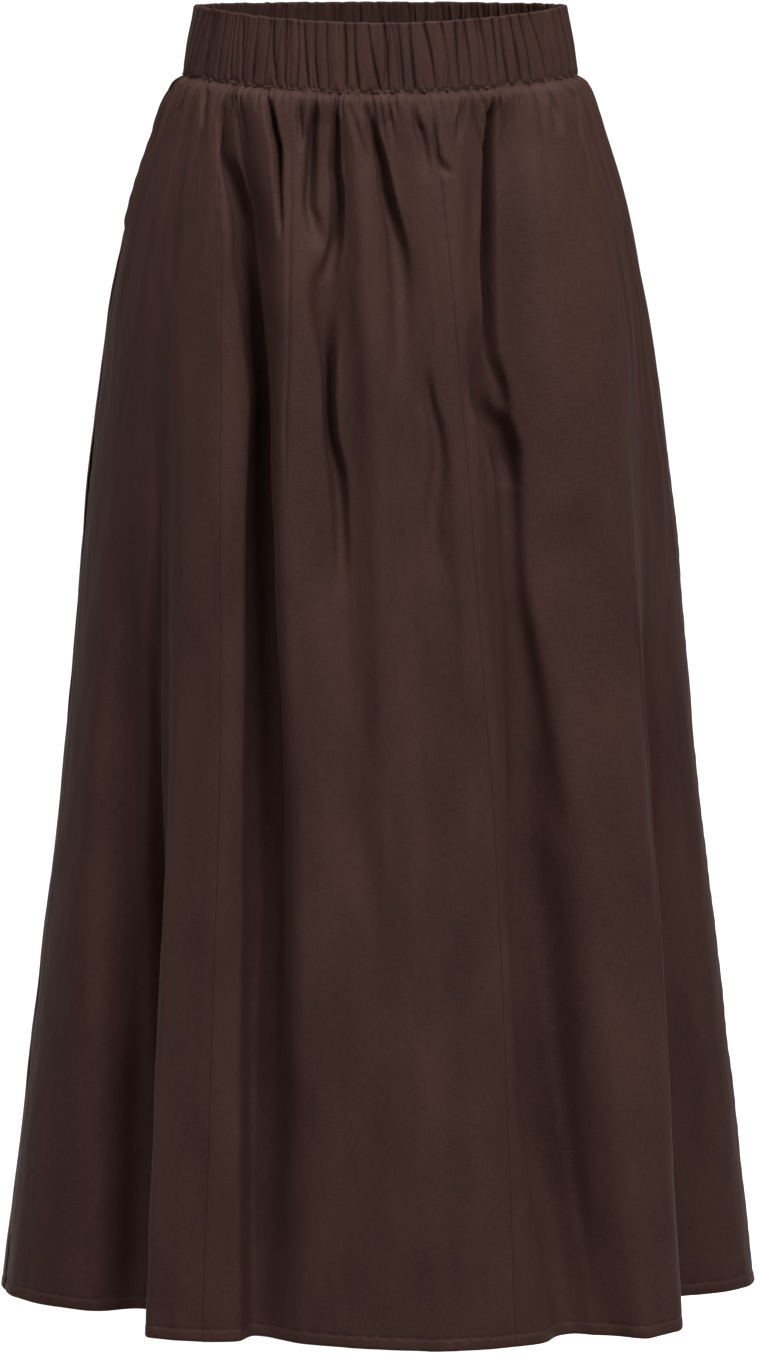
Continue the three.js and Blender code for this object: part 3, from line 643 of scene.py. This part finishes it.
# The waistband: a casing of poplin folded double over a wide elastic, sewn on all round. The
# elastic draws it into narrow grooves with flat tops between them, finer on the inside.
BAND_THICKNESS = 3.0
BAND_COLUMNS = 860
BAND_FULLNESS = 1.4
FRONT_GROOVES = [
    {"rim": -82, "foot": -86, "depth": 0.5},
    {"rim": -75, "foot": -81, "depth": 0.7},
    {"rim": -68, "foot": -76, "depth": 0.6},
    {"rim": -65, "foot": -72, "depth": 0.9},
    {"rim": -59, "foot": -64, "depth": 0.7},
    {"rim": -55, "foot": -55, "depth": 0.9},
    {"rim": -50, "foot": -49, "depth": 1.0},
    {"rim": -47, "foot": -44, "depth": 0.7},
    {"rim": -40, "foot": -40, "depth": 1.0},
    {"rim": -35.5, "foot": -36, "depth": 0.6},
    {"rim": -34.5, "foot": -31, "depth": 1.0},
    {"rim": -30, "foot": -28.5, "depth": 1.0},
    {"rim": -26, "foot": -25, "depth": 0.8},
    {"rim": -24, "foot": -21, "depth": 1.0},
    {"rim": -20, "foot": -18, "depth": 0.9},
    {"rim": -16.5, "foot": -15, "depth": 0.5},
    {"rim": -11, "foot": -10, "depth": 1.0},
    {"rim": -8, "foot": -6, "depth": 1.0},
    {"rim": -4, "foot": 0, "depth": 1.0},
    {"rim": 1, "foot": 2, "depth": 1.0},
    {"rim": 3, "foot": 6, "depth": 0.6},
    {"rim": 5, "foot": 6.5, "depth": 0.8},
    {"rim": 8.5, "foot": 10, "depth": 1.0},
    {"rim": 13, "foot": 16, "depth": 1.1},
    {"rim": 18.5, "foot": 20, "depth": 0.7},
    {"rim": 23, "foot": 23, "depth": 0.9},
    {"rim": 26, "foot": 27, "depth": 0.9},
    {"rim": 30, "foot": 30, "depth": 0.6},
    {"rim": 31.5, "foot": 33, "depth": 0.9},
    {"rim": 36, "foot": 36, "depth": 1.0},
    {"rim": 39, "foot": 40, "depth": 1.0},
    {"rim": 43, "foot": 45, "depth": 1.0},
    {"rim": 47, "foot": 49, "depth": 1.0},
    {"rim": 52, "foot": 57, "depth": 1.1},
    {"rim": 60, "foot": 61, "depth": 0.4},
    {"rim": 66, "foot": 67, "depth": 0.5},
    {"rim": 72, "foot": 73, "depth": 0.7},
    {"rim": 78, "foot": 80, "depth": 0.6},
    {"rim": 85, "foot": 86, "depth": 0.6},
]
FINE_GROOVES = {"count": 46, "least": 0.15, "most": 0.5, "slant": 3.0}


def fine_grooves(low, high, seed):
    """Shallow grooves between the deep ones, on a slant, their places drawn unevenly."""
    rng = np.random.default_rng(seed)
    rims = rng.uniform(low + 2, high - 2, FINE_GROOVES["count"])
    feet = rims + rng.uniform(-FINE_GROOVES["slant"], FINE_GROOVES["slant"], len(rims))
    depths = rng.uniform(FINE_GROOVES["least"], FINE_GROOVES["most"], len(rims))
    return [{"rim": r, "foot": f, "depth": d} for r, f, d in zip(rims, feet, depths)]


def back_grooves():
    """Grooves of the back half: as many as in front, their places drawn unevenly."""
    rng = np.random.default_rng(5)
    count = 40
    rims = 92 + (np.arange(count) + 0.5 + rng.uniform(-0.3, 0.3, count)) * 176 / count
    feet = rims + rng.uniform(-2, 2, count)
    depths = rng.uniform(0.5, 1.1, count)
    return [{"rim": r, "foot": f, "depth": d} for r, f, d in zip(rims, feet, depths)]


def groove_height(turn, depth, grooves, size, width, seed):
    """All grooves at one place: across each a narrow bell with a wide soft foot, its line from
    rim to foot bent a little sideways and its depth swelling unevenly on the way."""
    rng = np.random.default_rng(seed)
    down = np.clip(depth / BAND_HEIGHT, 0, 1)
    total = np.zeros_like(turn)
    for row in grooves:
        bend = rng.uniform(-0.7, 0.7)
        swell = 0.75 + 0.25 * np.sin(3.5 * down + rng.uniform(0, 6.3))
        middle = row["rim"] + (row["foot"] - row["rim"]) * down + bend * np.sin(np.pi * down)
        across = np.radians(turn - middle) * half_width(depth) * (1 + DEPTH_SHARE) / 2
        shape = 0.78 * bell(across / width) + 0.22 / (1 + (across / (3 * width)) ** 2)
        total -= size * row["depth"] * swell * shape
    return total


def inner_grooves(low, high, seed):
    """The finer grooves of the casing's inside between two turns, two for each one outside."""
    rng = np.random.default_rng(seed)
    count = 74
    rims = low + (np.arange(count) + 0.5 + rng.uniform(-0.4, 0.4, count)) * (high - low) / count
    return [{"rim": r, "foot": r + rng.uniform(-1.5, 1.5), "depth": rng.uniform(0.4, 1.0)} for r in rims]


def waistband_half(node, low, high, grooves, seed):
    """Half the casing: outer and inner faces meet at the rounded rim, both curl in at the waist
    seam, where the stitching draws them into small puckers, and the inside bulges at each groove."""
    turns = np.linspace(low, high, BAND_COLUMNS)
    rim_angle = np.radians(np.linspace(4, 90, 6))
    radius = BAND_THICKNESS / 2
    rim_depth = radius * (1 - np.cos(rim_angle))
    rim_out = radius * np.sin(rim_angle)
    body_depth = np.concatenate([np.linspace(radius + 1.2, 39, 13), [41, 42.6, 44, 45.2, 46.2, 46.8, 47.0]])
    depths = np.concatenate([rim_depth, body_depth])
    half_wall = np.concatenate([rim_out, np.full(len(body_depth), radius)])
    curl = 1.3 * ease(BAND_HEIGHT - 2.4, BAND_HEIGHT, depths)
    turn, depth = np.meshgrid(turns, depths)
    arc = waist_arc(turn)
    edge = bell((turn - low) / 0.35) + bell((turn - high) / 0.35)
    rim = ease(0, 4, depth)
    foot = ease(BAND_HEIGHT - 7, BAND_HEIGHT - 1.5, depth)
    outside = groove_height(turn, depth, grooves, 4.4, 0.66, seed)
    outside += groove_height(turn, depth, fine_grooves(low, high, seed + 7), 3.0, 0.65, seed + 8)
    outside = np.maximum(outside, -3.8) * (0.5 + 0.5 * rim) * (1 - 0.3 * foot)
    finer = inner_grooves(low, high, seed + 1)
    inside = groove_height(turn, depth, finer, 2.8, 0.6, seed + 2) * (0.4 + 0.6 * rim)
    puckers = 1.0 * (soft_noise(arc, depth, 1.7, 60.0, seed + 3) - 0.6) * foot
    puffs = 0.5 * soft_noise(arc, depth, 4.0, 28.0, seed + 4)
    waver = 0.6 * soft_noise(arc, 0 * depth, 5.5, 1.0, seed + 5) * foot
    waver += 0.35 * soft_noise(arc, 0 * depth, 4.0, 1.0, seed + 6) * (1 - rim)
    faces = []
    for side, relief in ((1, outside + puckers + puffs - 0.6 * edge), (-1, 0.8 * outside - inside)):
        wall = (half_wall - curl)[:, None] * side
        out = wall - radius + relief * (0.5 + 0.5 * ease(0, 1, half_wall / radius))[:, None]
        x, y = body_point(depth, turn, out)
        faces.append(np.dstack([x, y, -depth - rim_dip(turn, depth) - waver]))
    threads = np.dstack([arc * BAND_FULLNESS, depth])
    band = shell_object("cloth_" + node, faces[0], faces[1], threads, poplin)
    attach(band, "root")
    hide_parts(node)


waistband_half("waistband_front", -89.95, 89.95, FRONT_GROOVES, 3)
waistband_half("waistband_back", 90.05, 269.95, back_grooves(), 4)


# Pocket bags: two layers of the same cloth, sewn to the side seams and hanging flat against the
# inside of the side fronts. They are narrower at the top and rounded at the lower front corner.
BAG = {"top": 62.0, "depth": 230.0, "top_width": 60.0, "width": 112.0, "wall": 1.5, "roundness": 70.0}
pocketing = plain_weave("pocketing", (0.050, 0.0235, 0.0185), 0.7, 0.00042, 0.4)


def pocket_bag(node, line, inward):
    """A bag's grid against the side front: each row runs its own width from the seam, measured
    along the cloth, and the last rows shorten along a quarter circle."""
    depths = BAG["top"] + np.linspace(0, 1, 70) * BAG["depth"]
    above_foot = np.maximum(0, depths - BAG["top"] - BAG["depth"] + BAG["roundness"])
    cut = BAG["roundness"] - np.sqrt(np.maximum(1, BAG["roundness"] ** 2 - above_foot**2))
    widths = BAG["top_width"] + (BAG["width"] - BAG["top_width"]) * ease(BAG["top"], BAG["top"] + 110, depths) - cut
    places = PLACE_OF[line] + inward * np.linspace(2, 330, 400)
    form = cloth_frame(places, depths)
    steps = np.linalg.norm(np.diff(form["plan"], axis=1), axis=-1)
    run = np.concatenate([np.zeros((len(depths), 1)), np.cumsum(steps, axis=1)], axis=1)
    across = np.linspace(0, 1, 46)
    rows = []
    for number, depth in enumerate(depths):
        targets = across * widths[number]
        columns = [form["plan"][number, :, 0], form["plan"][number, :, 1]]
        columns += [form["outward"][number, :, 0], form["outward"][number, :, 1], form["turn"][number], places]
        rows.append([np.interp(targets, run[number], column) for column in columns])
    x, y, out_x, out_y, turn, place = np.moveaxis(np.array(rows), 1, 0)
    depth = np.broadcast_to(depths[:, None], turn.shape)
    clear = 3.7 + 1.6 * bell((depth - BAND_HEIGHT) / 90)
    height = -depth - rim_dip(turn, depth)
    outer = np.dstack([x - out_x * clear, y - out_y * clear, height])
    behind = clear + BAG["wall"]
    inner = np.dstack([x - out_x * behind, y - out_y * behind, height])
    threads = np.dstack([place, depth])
    if inward < 0:
        outer, inner, threads = outer[:, ::-1], inner[:, ::-1], threads[:, ::-1]
    bag = shell_object("cloth_" + node, outer, inner, threads, pocketing)
    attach(bag, "root")
    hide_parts(node)


pocket_bag("pocket_bag_left", "left side seam", 1)
pocket_bag("pocket_bag_right", "right side seam", -1)


# The hem stitching: one line of dark thread right round, eight millimetres above the edge. Each
# stitch is a short round length of thread, half sunk in the cloth.
STITCH = {"pitch": 2.6, "length": 2.0, "radius": 0.17}
thread_finish = bpy.data.materials.new("sewing_thread")
thread_finish.use_nodes = True
thread_surface = thread_finish.node_tree.nodes["Principled BSDF"]
thread_surface.inputs["Roughness"].default_value = 0.45
twist = thread_finish.node_tree.nodes.new("ShaderNodeTexWave")
twist.bands_direction = "DIAGONAL"
twist.inputs["Scale"].default_value = 900.0
twist_place = thread_finish.node_tree.nodes.new("ShaderNodeTexCoord")
thread_finish.node_tree.links.new(twist_place.outputs["Object"], twist.inputs["Vector"])
twist_shade = thread_finish.node_tree.nodes.new("ShaderNodeValToRGB")
twist_shade.color_ramp.elements[0].color = (0.036, 0.015, 0.012, 1)
twist_shade.color_ramp.elements[1].color = (0.075, 0.033, 0.027, 1)
thread_finish.node_tree.links.new(twist.outputs["Fac"], twist_shade.inputs["Fac"])
thread_finish.node_tree.links.new(twist_shade.outputs["Color"], thread_surface.inputs["Base Color"])


def hem_stitches():
    """All stitches at once: between its two ends on the cloth each is a five-sided tube whose
    radius swells as a half sine, on a grid of stitch by ring by side."""
    count = int(HEM_ROUND / STITCH["pitch"])
    middles = (np.arange(count) + 0.5) * HEM_ROUND / count
    depths = np.array([SKIRT_LENGTH - HEM_TURN])
    ends = [cloth_surface(middles + side * STITCH["length"] / 2, depths)[0][0] for side in (-1, 1)]
    along = ends[1] - ends[0]
    along /= np.linalg.norm(along, axis=-1, keepdims=True)
    outward = np.stack([along[:, 1], -along[:, 0], 0 * along[:, 0]], axis=-1)
    up = np.cross(outward, along)
    share = np.linspace(0, 1, 5)
    swell = STITCH["radius"] * np.maximum(0.15, np.sin(np.pi * share)) ** 0.5
    angle = np.arange(5) * 2 * np.pi / 5
    line = ends[0][:, None, :] * (1 - share)[None, :, None] + ends[1][:, None, :] * share[None, :, None]
    line = line + outward[:, None, :] * (0.35 * STITCH["radius"])
    ring = np.cos(angle)[None, :, None] * outward[:, None, :] + np.sin(angle)[None, :, None] * up[:, None, :]
    points = line[:, :, None, :] + swell[None, :, None, None] * ring[:, None, :, :]
    number = np.arange(count * 5 * 5).reshape(count, 5, 5)
    turned = np.roll(number, -1, axis=2)
    walls = np.stack([number[:, :-1], turned[:, :-1], turned[:, 1:], number[:, 1:]], axis=-1).reshape(-1, 4)
    stitches = mesh_object("thread_hem", points.reshape(-1, 3) * MM, walls, thread_finish)
    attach(stitches, "root")


hem_stitches()


# The studio: a plain pale floor that reaches past every view, a high soft lamp in front on the
# right, a weak one in front on the left, and an even light from straight above on the floor.
FLOOR = {"level": -1.04, "reach": 400.0, "brightness": 0.95}
corners = FLOOR["reach"] * np.array([[-1, -1], [1, -1], [1, 1], [-1, 1]])
floor_points = np.column_stack([corners, np.full(4, FLOOR["level"])])
pale = bpy.data.materials.new("pale_floor")
pale.use_nodes = True
pale.node_tree.nodes["Principled BSDF"].inputs["Base Color"].default_value = (*[FLOOR["brightness"]] * 3, 1)
pale.node_tree.nodes["Principled BSDF"].inputs["Roughness"].default_value = 1.0
pale.node_tree.nodes["Principled BSDF"].inputs["Specular IOR Level"].default_value = 0.0
floor = mesh_object("floor", floor_points, np.array([[0, 1, 2, 3]]), pale)
floor.visible_diffuse = False


def soft_panel(name, place, target, size, watts):
    """A square lamp that faces its target."""
    lamp = bpy.data.lights.new(name, "AREA")
    lamp.shape = "SQUARE"
    lamp.size = size
    lamp.energy = watts
    holder = bpy.data.objects.new(name, lamp)
    bpy.context.scene.collection.objects.link(holder)
    holder.location = place
    across = np.hypot(target[0] - place[0], target[1] - place[1])
    tilt = np.arctan2(across, place[2] - target[2])
    swing = np.arctan2(target[0] - place[0], -(target[1] - place[1]))
    holder.rotation_euler = (tilt, 0, swing + np.pi)


soft_panel("key", (1.15, -2.4, 2.1), (0, 0, -0.45), 1.1, 104)
soft_panel("fill", (-1.95, -3.38, 0.7), (0, 0, -0.45), 1.5, 24)
overhead = bpy.data.lights.new("overhead", "SUN")
overhead.energy = 3.3
overhead.angle = np.radians(30)
overhead_holder = bpy.data.objects.new("overhead", overhead)
bpy.context.scene.collection.objects.link(overhead_holder)
world = bpy.data.worlds.new("studio")
world.use_nodes = True
world.node_tree.nodes["Background"].inputs["Color"].default_value = (1, 1, 1, 1)
world.node_tree.nodes["Background"].inputs["Strength"].default_value = 0.12
bpy.context.scene.world = world
bpy.context.scene.view_settings.view_transform = "Standard"

# The camera: about four metres away, a little above the waist and tilted down to the skirt.
CAMERA_PLACE = (0.0, -4.0, 0.1)
CAMERA_TILT = 8.06
CAMERA_LENS = 153.8
lens = bpy.data.cameras.new("camera")
lens.lens = CAMERA_LENS
lens.sensor_width = 36
camera = bpy.data.objects.new("camera", lens)
bpy.context.scene.collection.objects.link(camera)
camera.location = CAMERA_PLACE
camera.rotation_euler = (np.radians(90 - CAMERA_TILT), 0, 0)
bpy.context.scene.camera = camera
